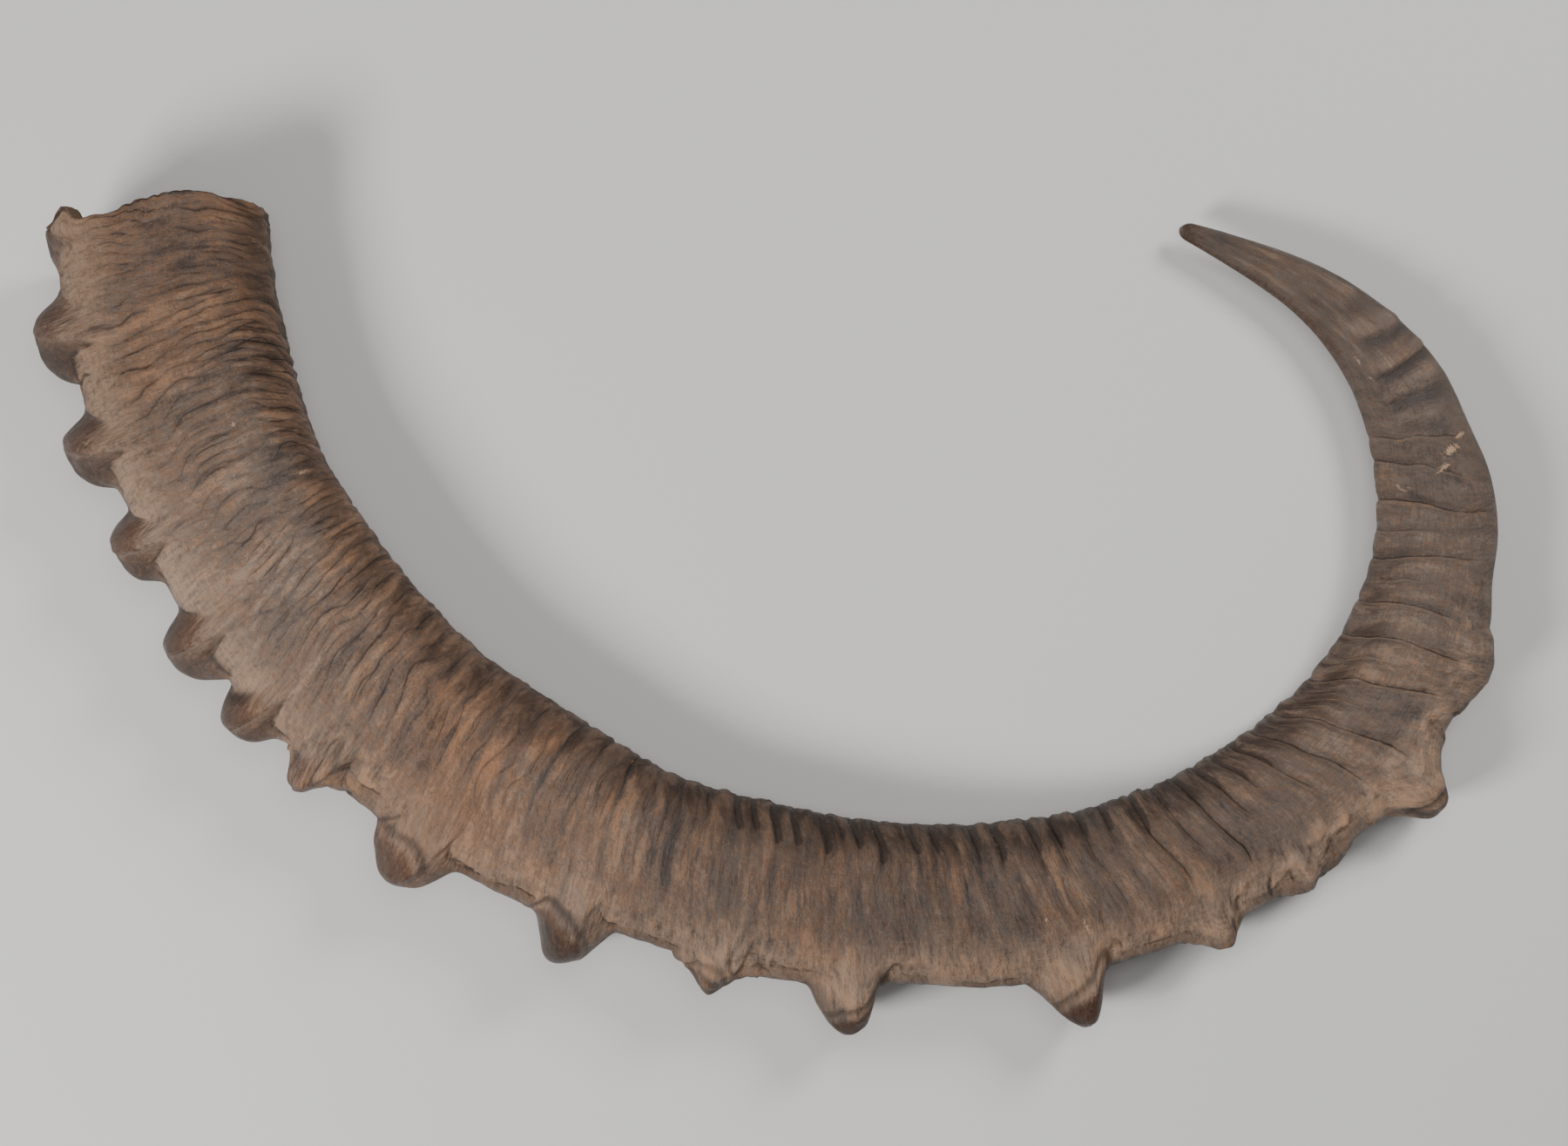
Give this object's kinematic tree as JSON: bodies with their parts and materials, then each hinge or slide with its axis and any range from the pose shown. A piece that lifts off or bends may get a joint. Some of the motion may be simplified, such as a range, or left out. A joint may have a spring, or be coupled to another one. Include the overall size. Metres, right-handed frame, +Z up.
{
  "type": "ibex horn",
  "caption": "Curved ibex horn with knobs across its front, growth rings and a hollow base, lying on its side.",
  "frame": {"origin": "centre of the horn's bounding box in plan, on the surface that it lies on", "axes": "+Z up from the surface the horn lies on, +X from the hollow base's side towards the bend near the tip, +Y from the belly of the bend towards its open side"},
  "size_m": [0.5566, 0.3192, 0.0559],
  "materials": {
    "horn": "weathered grey-brown keratin, half matt, with darker grooves and amber knob tips"
  },
  "bodies": {
    "root": {"horn": "horn"}
  },
  "joints": []
}
